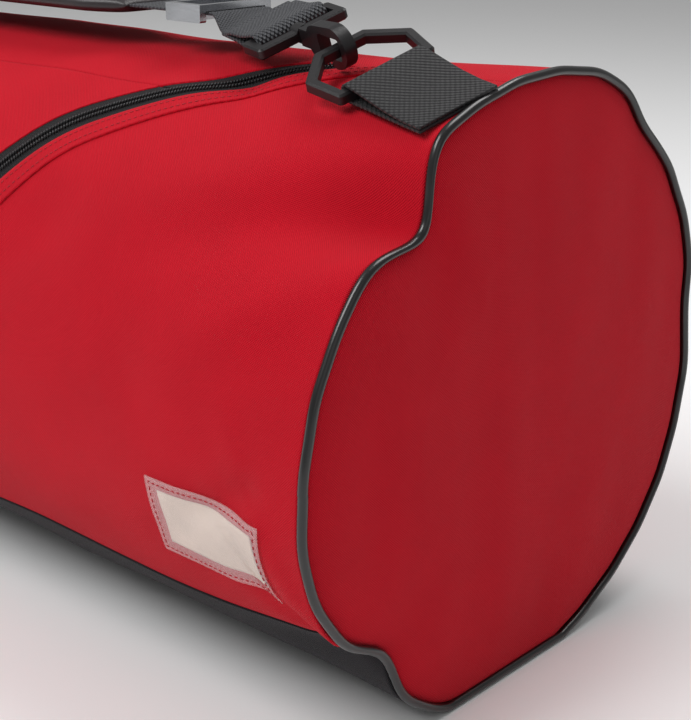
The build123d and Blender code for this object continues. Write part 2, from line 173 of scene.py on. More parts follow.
# ---- materials ----------------------------------------------------------------------------
def add_node(tree, kind, settings=None, **links):
    """Add a node, set its attributes and sockets, and link outputs into its inputs."""
    node = tree.nodes.new(kind)
    for key, value in (settings or {}).items():
        if isinstance(key, int) or key in node.inputs:
            node.inputs[key].default_value = value
        else:
            setattr(node, key, value)
    for key, output in links.items():
        tree.links.new(output, node.inputs[int(key[1:]) if key[0] == "_" else key])
    return node


def new_material(name):
    """Empty node material with its output node."""
    material = bpy.data.materials.new(name)
    material.use_nodes = True
    tree = material.node_tree
    tree.nodes.clear()
    return material, tree, tree.nodes.new("ShaderNodeOutputMaterial")


def close(tree, output, shader):
    """Wire the finished shader to the output."""
    tree.links.new(shader.outputs[0], output.inputs["Surface"])


def woven(name, colour, thread, sheen=0.04, rough=0.8, bump=0.5, rib=1.0):
    """Plain-woven polyester: matt, slightly napped, with crossing threads."""
    material, tree, output = new_material(name)
    place = add_node(tree, "ShaderNodeUVMap", {"uv_map": "cloth"})
    split = add_node(tree, "ShaderNodeSeparateXYZ", _0=place.outputs[0])
    turn = 2 * pi / thread
    waves = []
    for axis, stretch in (("X", 1.0), ("Y", rib)):
        scaled = add_node(
            tree,
            "ShaderNodeMath",
            {"operation": "MULTIPLY", 1: turn * stretch},
            _0=split.outputs[axis],
        )
        waves.append(
            add_node(tree, "ShaderNodeMath", {"operation": "SINE"}, _0=scaled.outputs[0])
        )
    crossing = add_node(
        tree,
        "ShaderNodeMath",
        {"operation": "MULTIPLY"},
        _0=waves[0].outputs[0],
        _1=waves[1].outputs[0],
    )
    spread = add_node(
        tree, "ShaderNodeMapRange", {"From Min": -1.0, "From Max": 1.0}, Value=crossing.outputs[0]
    )
    cloudy = add_node(
        tree,
        "ShaderNodeTexNoise",
        {"Scale": 22.0, "Detail": 5.0, "Roughness": 0.6},
        Vector=add_node(tree, "ShaderNodeTexCoord").outputs["Object"],
    )
    dark = tuple(c * 0.72 for c in colour)
    light = tuple(min(1.0, c * 1.12) for c in colour)
    thread_tone = add_node(tree, "ShaderNodeMix", {"data_type": "RGBA"})
    thread_tone.inputs[6].default_value = (*dark, 1)
    thread_tone.inputs[7].default_value = (*light, 1)
    tree.links.new(spread.outputs[0], thread_tone.inputs[0])
    tone = add_node(tree, "ShaderNodeMix", {"data_type": "RGBA", "blend_type": "MULTIPLY"})
    tone.inputs[0].default_value = 0.22
    tree.links.new(thread_tone.outputs[2], tone.inputs[6])
    tree.links.new(cloudy.outputs["Fac"], tone.inputs[7])
    relief = add_node(
        tree, "ShaderNodeBump", {"Strength": bump, "Distance": 0.0004}, Height=crossing.outputs[0]
    )
    shader = add_node(
        tree,
        "ShaderNodeBsdfPrincipled",
        {"Roughness": rough, "Sheen Weight": sheen, "Sheen Roughness": 0.5, "IOR": 1.45},
        Normal=relief.outputs[0],
    )
    shader.inputs["Specular IOR Level"].default_value = 0.18
    tree.links.new(tone.outputs[2], shader.inputs["Base Color"])
    close(tree, output, shader)
    return material


def ribbed_webbing(name, colour, rib):
    """Polypropylene webbing: coarse ribs across, with a painted highlight on the raised threads
    and painted shade in the hollows between them.
    """
    material, tree, output = new_material(name)
    place = add_node(tree, "ShaderNodeUVMap", {"uv_map": "cloth"})
    split = add_node(tree, "ShaderNodeSeparateXYZ", _0=place.outputs[0])
    waves = []
    for axis, spacing in (("X", rib), ("Y", rib * 1.25)):
        scaled = add_node(
            tree,
            "ShaderNodeMath",
            {"operation": "MULTIPLY", 1: 2 * pi / spacing},
            _0=split.outputs[axis],
        )
        waves.append(
            add_node(tree, "ShaderNodeMath", {"operation": "SINE"}, _0=scaled.outputs[0])
        )
    crossing = add_node(
        tree,
        "ShaderNodeMath",
        {"operation": "MULTIPLY"},
        _0=waves[0].outputs[0],
        _1=waves[1].outputs[0],
    )
    spread = add_node(
        tree, "ShaderNodeMapRange", {"From Min": -1.0, "From Max": 1.0}, Value=crossing.outputs[0]
    )
    # painted shade in the hollows (dark end) and painted highlight on the raised threads (light
    # end), following the rib height
    tone = add_node(tree, "ShaderNodeMix", {"data_type": "RGBA"})
    tone.inputs[6].default_value = (*(c * 0.45 for c in colour), 1)
    tone.inputs[7].default_value = (*(min(1, c * 1.3) for c in colour), 1)
    tree.links.new(spread.outputs[0], tone.inputs[0])
    relief = add_node(
        tree, "ShaderNodeBump", {"Strength": 0.9, "Distance": 0.0007}, Height=crossing.outputs[0]
    )
    shader = add_node(
        tree,
        "ShaderNodeBsdfPrincipled",
        {"Roughness": 0.55, "Sheen Weight": 0.05, "IOR": 1.49},
        Normal=relief.outputs[0],
    )
    tree.links.new(tone.outputs[2], shader.inputs["Base Color"])
    close(tree, output, shader)
    return material


def moulded(name, colour, rough, grain=0.0015, bump=0.12, coat=0.0, metallic=0.0):
    """Moulded or coated surface: fine grain, worn a little lighter in patches."""
    material, tree, output = new_material(name)
    place = add_node(tree, "ShaderNodeTexCoord")
    fine = add_node(
        tree,
        "ShaderNodeTexNoise",
        {"Scale": 1 / grain, "Detail": 4.0},
        Vector=place.outputs["Object"],
    )
    broad = add_node(
        tree,
        "ShaderNodeTexNoise",
        {"Scale": 60.0, "Detail": 3.0},
        Vector=place.outputs["Object"],
    )
    tone = add_node(tree, "ShaderNodeMix", {"data_type": "RGBA"})
    tone.inputs[6].default_value = (*(c * 0.8 for c in colour), 1)
    tone.inputs[7].default_value = (*(min(1, c * 1.25) for c in colour), 1)
    tree.links.new(broad.outputs["Fac"], tone.inputs[0])
    roughness = add_node(
        tree,
        "ShaderNodeMapRange",
        {"To Min": rough * 0.85, "To Max": min(1.0, rough * 1.2)},
        Value=broad.outputs["Fac"],
    )
    relief = add_node(
        tree, "ShaderNodeBump", {"Strength": bump, "Distance": 0.0003}, Height=fine.outputs["Fac"]
    )
    shader = add_node(
        tree,
        "ShaderNodeBsdfPrincipled",
        {"Coat Weight": coat, "Coat Roughness": 0.15, "Metallic": metallic},
        Normal=relief.outputs[0],
        Roughness=roughness.outputs[0],
    )
    tree.links.new(tone.outputs[2], shader.inputs["Base Color"])
    close(tree, output, shader)
    return material


def clear_vinyl(name):
    """Soft clear vinyl: mostly see-through, faintly pink, with a wavy gloss."""
    material, tree, output = new_material(name)
    place = add_node(tree, "ShaderNodeTexCoord")
    wave = add_node(
        tree, "ShaderNodeTexNoise", {"Scale": 70.0, "Detail": 2.0}, Vector=place.outputs["Object"]
    )
    relief = add_node(
        tree, "ShaderNodeBump", {"Strength": 0.3, "Distance": 0.001}, Height=wave.outputs["Fac"]
    )
    shader = add_node(
        tree,
        "ShaderNodeBsdfPrincipled",
        {"Roughness": 0.16, "Alpha": 0.22, "IOR": 1.5},
        Normal=relief.outputs[0],
    )
    shader.inputs["Base Color"].default_value = (*rgb("#f3dcdc"), 1)
    close(tree, output, shader)
    return material


# ---- the barrel's surface -----------------------------------------------------------------
def bump_at(value, centre, width):
    """Smooth hump of height one."""
    return exp(-(((value - centre) / width) ** 2))


# each: angle, half width in degrees, and how far the rim moves out at the right end
RIM_HUMPS = (
    (50.0, 10.5, -17.0),
    (33.0, 12.0, -6.0),
    (-43.0, 8.0, -9.5),
    (-14.0, 15.0, 5.5),
    (112.0, 20.0, 5.5),
    (-66.0, 13.0, 2.5),
    (-145.0, 16.0, 2.8),
)
# each: start x, angle, end x, angle, half width and depth in millimetres
FOLDS = (
    (333, 50, 205, 30, 17, -7.0),
    (333, 62, 225, 44, 15, 3.5),
    (320, 33, 215, 6, 15, 3.2),
    (333, -43, 268, -8, 9, -5.5),
    (333, -30, 285, 8, 8, 2.6),
    (300, -4, 236, -20, 8, -3.2),
    (225, 6, 120, -24, 20, -2.4),
    (150, 30, 60, -10, 22, -2.6),
    (210, 70, 120, 74, 12, -2.8),
    (40, 8, -80, -30, 24, -2.6),
    (-333, 44, -215, 22, 18, -6.0),
    (-333, -20, -250, -4, 13, -4.0),
    (-120, 20, -220, 52, 18, -2.2),
    (333, 128, 210, 118, 20, -4.5),
    (333, 176, 190, 158, 22, -5.0),
    (120, 120, -60, 150, 30, -3.0),
    (-333, 150, -170, 132, 24, -5.0),
    (-333, 104, -240, 98, 14, -3.0),
)


def fold_height(x, angle):
    """Height of the soft folds over the wall, in metres."""
    arc = RADIUS * radians(angle)
    total = 0.0
    for x0, a0, x1, a1, width, height in FOLDS:
        start = Vector((x0 * MM, RADIUS * radians(a0)))
        run = Vector((x1 * MM, RADIUS * radians(a1))) - start
        away = Vector((x, arc)) - start
        share = max(0.0, min(1.0, away.dot(run) / run.length_squared))
        distance = (away - run * share).length
        fade = 1.0 - 0.85 * share
        total += height * MM * fade * exp(-((distance / (width * MM)) ** 2))
    return total


def rim_height(angle):
    """How far the end seam stands out of round, in metres."""
    turned = (angle + 180) % 360 - 180
    return sum(h * MM * bump_at(turned, a, w) for a, w, h in RIM_HUMPS)


def swell(x, angle):
    """All of the cloth's height over the plain round wall."""
    depth = bpy.context.scene.holdall_cloth.fold_depth
    from_end = max(0.0, WALL_END - abs(x))
    rim = rim_height(angle if x > 0 else angle + 14) * exp(-((from_end / (55 * MM)) ** 2))
    ripple = noise.noise(Vector((x * 16, angle * 0.045, 3.1))) * 1.3 * MM
    near_seam = exp(-from_end / (16 * MM))
    pucker = near_seam * 0.2 * MM * sin(radians(angle) * 31)
    sag = -2.0 * MM * bump_at(abs(x), 0.12, 0.1) * bump_at(angle, 95, 40)
    return (rim + ripple + pucker + sag + fold_height(x, angle)) * depth


def on_wall(x, angle, lift=0.0):
    """Point on the cloth at a place along the bag and an angle above the level front."""
    radius = RADIUS + swell(x, angle) + lift
    point = Vector((x, -radius * cos(radians(angle)), AXIS_Z + radius * sin(radians(angle))))
    floor = CLOTH * 0.1 + max(0.0, -lift)
    point.z = max(point.z, floor)
    return point


# ---- the zip's path -----------------------------------------------------------------------
def rise(angle):
    """Height of an angle across the direction that the mouth faces."""
    return RADIUS * sin(radians(angle - MOUTH_FACING))


def angle_of(height):
    """Angle on the wall of a height across the mouth's direction."""
    return MOUTH_FACING + degrees(asin(max(-1.0, min(1.0, height / RADIUS))))


def rounded(points, radii, step):
    """Points along straight runs joined by arcs."""
    path = [Vector(points[0])]
    for before, corner, after, radius in zip(points, points[1:], points[2:], radii):
        before, corner, after = Vector(before), Vector(corner), Vector(after)
        back = (before - corner).normalized()
        ahead = (after - corner).normalized()
        turn = pi - back.angle(ahead)
        cut = radius * abs(sin(turn / 2) / cos(turn / 2))
        start = corner + back * cut
        end = corner + ahead * cut
        count = max(2, int(radius * turn / step))
        for i in range(count + 1):
            t = i / count
            path.append(start.lerp(corner, t).lerp(corner.lerp(end, t), t))
    path.append(Vector(points[-1]))
    even = [path[0]]
    for point in path[1:]:
        gap = (point - even[-1]).length
        count = max(1, round(gap / step))
        first = even[-1].copy()
        even.extend(first.lerp(point, i / count) for i in range(1, count + 1))
    return even


def zip_path(step=3.0 * MM):
    """Middle of the zip from the left top end to the right, flat across the mouth."""
    slope = (rise(TOP_LINE) - rise(ZIP_BEND)) / (ZIP_TOP_HALF - ZIP_BEND_X)
    beyond = 22.0 * MM
    right = [
        (ZIP_FRONT_HALF, rise(ZIP_FRONT)),
        (ZIP_BEND_X, rise(ZIP_BEND)),
        (ZIP_TOP_HALF + beyond, rise(TOP_LINE) + beyond * slope),
    ]
    left = [(-x, y) for x, y in reversed(right)]
    return rounded(left + right, (120 * MM, 40 * MM, 40 * MM, 120 * MM), step)


def beside(path, distance):
    """The path moved out of the mouth by a distance."""
    moved = []
    for i, point in enumerate(path):
        ahead = path[min(i + 1, len(path) - 1)] - path[max(i - 1, 0)]
        out = Vector((ahead.y, -ahead.x)).normalized()
        moved.append(point + out * distance)
    return moved


def kept(line, low, high):
    """Part of a line between two angles, as places along and angles."""
    places = [(point.x, angle_of(point.y)) for point in line]
    return [(x, a) for x, a in places if low <= a <= high]


# ---- sheets mapped onto the wall ----------------------------------------------------------
def along(line, share):
    """Place at a share of a line's count of points."""
    at = share * (len(line) - 1)
    i = min(int(at), len(line) - 2)
    t = at - i
    return tuple(a + (b - a) * t for a, b in zip(line[i], line[i + 1]))


def mapped_grid(name, columns, rows, place, material):
    """Grid whose points go where place(u, v) says, with a cloth map in metres."""
    mesh = bpy.data.meshes.new(name)
    body = bmesh.new()
    bmesh.ops.create_grid(body, x_segments=columns, y_segments=rows, size=0.5)
    layer = body.loops.layers.uv.new("cloth")
    flat = {}
    for vert in body.verts:
        point, across = place(vert.co.x + 0.5, vert.co.y + 0.5)
        flat[vert] = across
        vert.co = point
    for face in body.faces:
        face.smooth = True
        for loop in face.loops:
            loop[layer].uv = flat[loop.vert]
    body.to_mesh(mesh)
    body.free()
    mesh.materials.append(material)
    piece = bpy.data.objects.new(name, mesh)
    bpy.context.scene.collection.objects.link(piece)
    return piece


def thicken(piece, thickness, offset=-1.0):
    """Give a sheet its thickness."""
    solid = piece.modifiers.new("thickness", "SOLIDIFY")
    solid.thickness = thickness
    solid.offset = offset
    return piece


def wall_sheet(name, low_line, high_line, columns, rows, material, lift=0.0, thickness=CLOTH):
    """Cloth between two lines of (x, angle) places; outer face away from the axis."""

    def place(u, v):
        x0, a0 = along(low_line, u)
        x1, a1 = along(high_line, u)
        x, angle = x0 + (x1 - x0) * v, a0 + (a1 - a0) * v
        return on_wall(x, angle, lift), (x, RADIUS * radians(angle))

    return thicken(mapped_grid(name, columns, rows, place, material), thickness)


def finish_piece(piece, body, slot, *nodes):
    """Seat a new piece on its body and hide what it stands for."""
    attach(piece, body)
    if nodes:
        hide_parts(*nodes)
    return piece


MATERIALS = {}


def make_materials(cloth, trim):
    """Make every finish once."""
    MATERIALS.update(
        red=woven("red_woven_polyester", tuple(cloth.red), cloth.thread),
        black=woven("black_woven_polyester", tuple(cloth.black), cloth.thread, sheen=0.1),
        tape=woven("black_zip_tape", rgb("#151316"), 0.0012, sheen=0.1, rib=0.4),
        piping=moulded("glossy_vinyl_piping", rgb("#0c0a0b"), 0.3, bump=0.03, coat=0.3),
        webbing=ribbed_webbing("ribbed_polypropylene_webbing", rgb("#1a181b"), 0.0026),
        strap=ribbed_webbing("ribbed_strap_webbing", rgb("#3d3e43"), 0.0022),
        plastic=moulded("moulded_acetal", tuple(trim.plastic), 0.38, bump=0.2),
        coil=moulded("nylon_zip_coil", rgb("#1b191b"), 0.42),
        enamel=moulded("black_enamelled_zinc", rgb("#19181a"), 0.3, coat=0.5),
        plate=moulded("plated_steel", rgb("#c6c8cc"), 0.22, metallic=1.0),
        leather=moulded("grained_synthetic_leather", rgb("#282325"), 0.42, 0.0012, bump=0.5),
        card=moulded("plain_card", rgb("#ded9c8"), 0.7),
        vinyl=clear_vinyl("clear_soft_vinyl"),
        board=moulded("pressed_fibre_board", rgb("#1c1b1a"), 0.8),
        thread=moulded("red_sewing_thread", rgb("#a3061d"), 0.6),
    )


# ---- pieces -------------------------------------------------------------------------------
def column_line(places, fallback):
    """Angle of a line at any place along the bag, and a fallback beyond its ends."""
    places = sorted(places)

    def at(x):
        if x <= places[0][0] or x >= places[-1][0]:
            return fallback
        for (x0, a0), (x1, a1) in zip(places, places[1:]):
            if x0 <= x <= x1:
                return a0 + (a1 - a0) * (x - x0) / max(x1 - x0, 1e-9)
        return fallback

    return at


def sampled(line_at, half, count=460):
    """Places along the bag at the angles of a column line."""
    places = [-half + 2 * half * i / count for i in range(count + 1)]
    return [(x, line_at(x)) for x in places]


def build_walls():
    """Front, back and base cloth, cut round the zip, and the mouth's flap."""
    path = zip_path()
    outer = column_line(kept(beside(path, ZIP_GAP), 0, TOP_LINE), TOP_LINE)
    inner = column_line(kept(beside(path, -ZIP_GAP), 0, TOP_LINE), TOP_LINE)
    red = MATERIALS["red"]
    front_top = sampled(outer, WALL_END)
    front_base = [(x, BASE_FRONT) for x, _ in front_top]
    front = wall_sheet("front_cloth", front_base, front_top, 460, 190, red)
    finish_piece(front, "root", "red_fabric", "front_panel")
    back_low = sampled(lambda x: max(inner(x), FLAP_FOLD), WALL_END)
    back_high = [(x, BASE_REAR) for x, _ in back_low]
    back = wall_sheet("back_cloth", back_low, back_high, 460, 190, red)
    finish_piece(back, "root", "red_fabric", "back_panel")
    front_base_end = [(x, BASE_FRONT + 0.6) for x, _ in front_base]
    base_start = [(x, BASE_REAR - 360 - 0.6) for x, _ in front_base]
    base = wall_sheet(
        "base_cloth", base_start, front_base_end, 300, 140, MATERIALS["black"], lift=0.8 * MM
    )
    finish_piece(base, "root", "black_fabric", "base_panel")
    half = max(x for x, _ in sampled(inner, ZIP_TOP_HALF) if inner(x) < FLAP_FOLD)
    low = sampled(inner, half, 300)
    flap = wall_sheet("mouth_cloth", low, [(x, FLAP_FOLD) for x, _ in low], 300, 60, red)
    finish_piece(flap, "flap", "red_fabric", "mouth_flap")


def end_place(side):
    """Place on an end panel: u round the rim, v from the rim to the middle."""
    depth = END_HIGH.x - SEAM_X

    def place(u, v):
        angle = 360 * (u if side < 0 else 1 - u)
        rim = on_wall(side * WALL_END, angle, -2.2 * MM)
        middle = Vector((0, 0, AXIS_Z))
        around = Vector((0, rim.y, rim.z)).lerp(middle, v)
        dome = depth * min(1.0, 1.5 * sqrt(max(0.0, v))) - 1.6 * MM
        folds = 1.6 * MM * noise.noise(Vector((around.y * 34 + 5, around.z * 9, side * 4.0)))
        folds *= min(1.0, v * 5) * bpy.context.scene.holdall_cloth.fold_depth
        reach = min(SEAM_X + dome + folds, END_HIGH.x + 2.5 * MM)
        return Vector((side * reach, around.y, max(around.z, 2.5 * MM))), (
            around.y,
            around.z,
        )

    return place


def join_seam(piece):
    """Merge the doubled edge of a closed sheet."""
    body = bmesh.new()
    body.from_mesh(piece.data)
    bmesh.ops.remove_doubles(body, verts=body.verts, dist=0.00002)
    bmesh.ops.recalc_face_normals(body, faces=body.faces)
    for face in body.faces:
        face.smooth = True
    body.to_mesh(piece.data)
    body.free()
    return piece


def build_end(side):
    """End panel, piping bead and inner binding of one end."""
    name = "right" if side > 0 else "left"
    panel = mapped_grid(f"{name}_end_cloth", 360, 70, end_place(side), MATERIALS["red"])
    finish_piece(join_seam(panel), "root", "red_fabric", f"{name}_end_panel")
    bead_radius = bpy.context.scene.holdall_trim.piping

    def bead(u, v):
        angle = 360 * u
        centre = on_wall(side * SEAM_X, angle, -0.4 * MM)
        centre.z = max(centre.z, bead_radius)
        out = outward(angle)
        turn = 2 * pi * v
        across = Vector((1, 0, 0)) * sin(turn) * bead_radius + out * cos(turn) * bead_radius
        return centre + across, (RADIUS * radians(angle), turn * bead_radius)

    piping = mapped_grid(f"{name}_piping_bead", 420, 14, bead, MATERIALS["piping"])
    finish_piece(join_seam(piping), "root", "piping_vinyl", f"{name}_piping")
    start, end = sorted((side * (WALL_END - 9 * MM), side * WALL_END))

    def tape(u, v):
        angle = BASE_FRONT + 360 * v
        x = start + (end - start) * u
        return on_wall(x, angle, BINDING_LIFT), (x, RADIUS * radians(angle))

    binding = thicken(
        mapped_grid(f"{name}_binding_tape", 6, BINDING_ROWS, tape, MATERIALS["black"]), 0.8 * MM
    )
    finish_piece(binding, "root", "binding", f"{name}_seam_binding")


def outward(angle):
    """Direction away from the axis."""
    return Vector((0, -cos(radians(angle)), sin(radians(angle))))


def beads(name, places, lift, size, material):
    """Small rounded pieces set along a line of (x, angle) places and their headings."""
    mesh = bpy.data.meshes.new(name)
    body = bmesh.new()
    for i, (x, angle) in enumerate(places):
        here = on_wall(x, angle, lift)
        nxt = places[min(i + 1, len(places) - 1)]
        before = places[max(i - 1, 0)]
        ahead = (on_wall(*nxt, lift) - on_wall(*before, lift)).normalized()
        out = outward(angle)
        across = out.cross(ahead).normalized()
        out = ahead.cross(across)
        turn = Matrix((ahead, across, out)).transposed().to_4x4()
        shape = Matrix.Diagonal((*size, 1))
        bmesh.ops.create_icosphere(
            body, subdivisions=1, radius=1, matrix=Matrix.Translation(here) @ turn @ shape
        )
    for face in body.faces:
        face.smooth = True
    body.to_mesh(mesh)
    body.free()
    mesh.materials.append(material)
    piece = bpy.data.objects.new(name, mesh)
    bpy.context.scene.collection.objects.link(piece)
    return piece


def split_at_fold(line):
    """Parts of a mouth line that stay above the fold on each side, and the part below."""
    below = [place for place in line if place[1] <= FLAP_FOLD]
    left = [place for place in line if place[1] > FLAP_FOLD and place[0] < 0]
    right = [place for place in line if place[1] > FLAP_FOLD and place[0] > 0]
    return left, below, right


def build_zip():
    """Facing with two rows of stitches, tapes and the two rows of coil."""
    path = zip_path(1.5 * MM)

    def line(distance):
        return kept(beside(path, distance), 0, TOP_LINE)

    facing = wall_sheet(
        "facing_strip",
        line(FACING_REACH),
        line(ZIP_GAP),
        500,
        10,
        MATERIALS["red"],
        0.9 * MM,
        0.9 * MM,
    )
    finish_piece(facing, "root", "red_fabric", "zip_facing")
    for name, distance in (("inner", 11.5 * MM), ("outer", 17.0 * MM)):
        seam = beads(
            f"{name}_facing_stitches",
            line(distance)[::2],
            1.0 * MM,
            (1.15 * MM, 0.35 * MM, 0.3 * MM),
            MATERIALS["thread"],
        )
        finish_piece(seam, "root", "red_fabric")
    tape = MATERIALS["tape"]
    outer = wall_sheet(
        "outer_zip_tape", line(TAPE_REACH), line(0.4 * MM), 500, 8, tape, -0.6 * MM, 0.6 * MM
    )
    finish_piece(outer, "root", "zip_tape", "zip_tape_front")
    near, far = split_at_fold(line(-0.4 * MM)), split_at_fold(line(-TAPE_REACH))
    strips = [
        wall_sheet("tape", low, high, 120, 8, tape, -0.6 * MM, 0.0006)
        for low, high in zip(near, far)
    ]
    finish_piece(strips[1], "flap", "zip_tape", "zip_tape_flap")
    strips[1].name = "flap_zip_tape"
    finish_piece(strips[0], "root", "zip_tape", "zip_tape_top")
    strips[0].name, strips[2].name = "left_top_zip_tape", "right_top_zip_tape"
    finish_piece(strips[2], "root", "zip_tape")
    tooth = (0.62 * MM, 1.35 * MM, 0.8 * MM)
    teeth = beads("outer_zip_coil", line(COIL_OFFSET), 0.2 * MM, tooth, MATERIALS["coil"])
    finish_piece(teeth, "root", "zip_coil", "zip_coil_front")
    left, below, right = split_at_fold(line(-COIL_OFFSET))
    flap_teeth = beads("flap_zip_coil", below, 0.2 * MM, tooth, MATERIALS["coil"])
    finish_piece(flap_teeth, "flap", "zip_coil", "zip_coil_flap")
    for name, part in (("left", left), ("right", right)):
        top = beads(f"{name}_top_zip_coil", part, 0.2 * MM, tooth, MATERIALS["coil"])
        finish_piece(top, "root", "zip_coil", *(["zip_coil_top"] if name == "left" else []))


def pocket_line(x_low, x_high, low, high, step):
    """Closed run of places round a rectangle on the wall."""
    across = int((x_high - x_low) / step)
    up = int((high - low) * radians(1) * RADIUS / step)
    run = [(x_low + (x_high - x_low) * i / across, low) for i in range(across)]
    run += [(x_high, low + (high - low) * i / up) for i in range(up)]
    run += [(x_high - (x_high - x_low) * i / across, high) for i in range(across)]
    return run + [(x_low, high - (high - low) * i / up) for i in range(up)]


def build_pocket():
    """Name-card pocket: clear cover, card and its stitch line."""
    x_low, x_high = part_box("id_window")[0][0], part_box("id_window")[1][0]
    low, high = -24.0, -8.0
    inset = 6 * MM
    turned = degrees(inset / RADIUS)
    card = wall_sheet(
        "name_card",
        [(x_low + inset, low + turned), (x_high - inset, low + turned)],
        [(x_low + inset, high - turned), (x_high - inset, high - turned)],
        40,
        24,
        MATERIALS["card"],
        0.7 * MM,
        0.4 * MM,
    )
    finish_piece(card, "root", "card", "id_card")
    cover = wall_sheet(
        "pocket_cover",
        [(x_low, low), (x_high, low)],
        [(x_low, high), (x_high, high)],
        60,
        36,
        MATERIALS["vinyl"],
        1.5 * MM,
        0.5 * MM,
    )
    finish_piece(cover, "root", "clear_vinyl", "id_window")
    run = pocket_line(x_low + 2.5 * MM, x_high - 2.5 * MM, low + 1, high - 1, 3 * MM)
    stitch = (1.2 * MM, 0.35 * MM, 0.3 * MM)
    seam = beads("pocket_stitches", run, 1.6 * MM, stitch, MATERIALS["thread"])
    finish_piece(seam, "root", "red_fabric")


def tab_frame(side):
    """Root, direction away from the seam, direction off the cloth, and across."""
    normal = outward(TAB_ANGLE)
    up_round = Vector((0, sin(radians(TAB_ANGLE)), cos(radians(TAB_ANGLE))))
    ahead = Vector((-side * cos(radians(TAB_YAW)), 0, 0)) + up_round * sin(radians(TAB_YAW))
    root = Vector((side * SEAM_X, 0, AXIS_Z)) + normal * RADIUS
    return root, ahead, normal, ahead.cross(normal) * side


def band(name, centres, acrosses, width, thickness, material):
    """Webbing through given centres; each centre has its own direction across."""
    lengths = [0.0]
    for a, b in zip(centres, centres[1:]):
        lengths.append(lengths[-1] + (b - a).length)

    def place(u, v):
        at = u * (len(centres) - 1)
        i = min(int(at), len(centres) - 2)
        t = at - i
        centre = centres[i].lerp(centres[i + 1], t)
        across = acrosses[i].lerp(acrosses[i + 1], t).normalized()
        offset = (v - 0.5) * width
        return centre + across * offset, (offset, lengths[i] + (lengths[i + 1] - lengths[i]) * t)

    sheet = mapped_grid(name, 4 * len(centres), 10, place, material)
    thicken(sheet, thickness, 0.0)
    edge = sheet.modifiers.new("edge", "BEVEL")
    edge.width = thickness * 0.3
    edge.segments = 2
    return sheet


def build_tab(side):
    """Webbing loop that holds the ring at one end."""
    name = "right" if side > 0 else "left"
    root, ahead, normal, across = tab_frame(side)
    layer = bpy.context.scene.holdall_trim.webbing
    path = [(3, 1.2), (14, 1.3), (26, 1.6), (38, 2.0), (47, 2.1)]
    path += [(52 + 3.7 * sin(radians(a)), 5.8 - 3.7 * cos(radians(a))) for a in range(0, 181, 15)]
    path += [(45, 8.6), (36, 6.6), (26, 4.6), (14, 3.2), (3, 2.9)]
    centres = [root + ahead * a * MM + normal * h * MM for a, h in path]
    piece = band(
        f"{name}_tab_webbing",
        centres,
        [across] * len(centres),
        TAB_WIDTH,
        layer * 0.9,
        MATERIALS["webbing"],
    )
    finish_piece(piece, "root", "webbing", f"{name}_ring_tab")


def build_strap():
    """Strap webbing with both end loops, and the pad."""
    level = (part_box("right_adjuster")[0][2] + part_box("right_adjuster")[1][2]) / 2
    strap_y = (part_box("right_adjuster")[0][1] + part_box("right_adjuster")[1][1]) / 2
    halves = []
    for side in (1, -1):
        root, ahead, normal, across = tab_frame(side)
        across = across if across.y > 0 else -across
        loop = root + ahead * LOOP_ALONG + normal * LOOP_LIFT
        run = [
            loop + ahead * 30 * MM - normal * 0.9 * MM,
            loop + ahead * 16 * MM - normal * 1.6 * MM,
        ]
        run += [
            loop - ahead * LOOP_RADIUS * sin(radians(a)) - normal * LOOP_RADIUS * cos(radians(a))
            for a in range(0, 181, 20)
        ]
        run += [loop + ahead * 10 * MM + normal * 1.9 * MM]
        ways = [across.copy() for _ in run]
        start = loop + ahead * 22 * MM + normal * 1.0 * MM
        end = Vector((side * 164 * MM, strap_y, level))
        for i in range(9):
            t = i / 8
            point = start.lerp(end, t)
            point.z -= 2.5 * MM * sin(pi * t)
            run.append(point)
            ways.append(across.lerp(Vector((0, 1, 0)), t * t * (3 - 2 * t)).normalized())
        halves.append((run, ways))
    middle = [Vector((x * MM, strap_y, level)) for x in range(150, -151, -10)]
    centres = halves[0][0] + middle + halves[1][0][::-1]
    ways = halves[0][1] + [Vector((0, 1, 0))] * len(middle) + halves[1][1][::-1]
    webbing = band("strap_band", centres, ways, STRAP_WIDTH, 1.4 * MM, MATERIALS["strap"])
    finish_piece(webbing, "strap", "webbing", "strap_webbing")

    low, high = (Vector(c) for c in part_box("shoulder_pad"))
    half, wide, thick = high.x, (high.y - low.y) / 2, (high.z - low.z) / 2

    def outline(x):
        share = max(0.0, (abs(x) - (half - PAD_TAPER)) / PAD_TAPER)
        return wide - (wide - PAD_END_HALF) * share * share * (3 - 2 * share)

    def pad_place(u, v):
        t = 2 * u - 1
        x = half * (1 - (1 - abs(t)) ** 1.6) * (1 if t > 0 else -1)
        round_off = sqrt(max(0.0, 1 - (abs(x) / half) ** 24))
        turn = 2 * pi * v
        c, s = cos(turn), sin(turn)
        y = outline(x) * (abs(c) ** 0.35) * (1 if c > 0 else -1) * (0.9 + 0.1 * round_off)
        z = thick * (abs(s) ** 0.75) * (1 if s > 0 else -1) * round_off
        return Vector((x, strap_y + y, level + z)), (x, turn * 12 * MM)

    pad = join_seam(mapped_grid("pad_cover", 160, 72, pad_place, MATERIALS["leather"]))
    finish_piece(pad, "pad", "pad_leather", "shoulder_pad")


def build_finishes():
    """Give the rigid frame pieces their own finishes."""
    plain = {
        "base_board": "board",
        "right_slider": "enamel",
        "left_slider": "enamel",
        "right_pull": "enamel",
        "left_pull": "enamel",
        "right_adjuster": "plate",
        "left_adjuster": "plate",
    }
    for side in ("right", "left"):
        for part in ("ring", "hook", "gate", "swivel_base"):
            plain[f"{side}_{part}"] = "plastic"
    for name, finish in plain.items():
        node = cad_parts[name]
        node.data.materials.clear()
        node.data.materials.append(MATERIALS[finish])


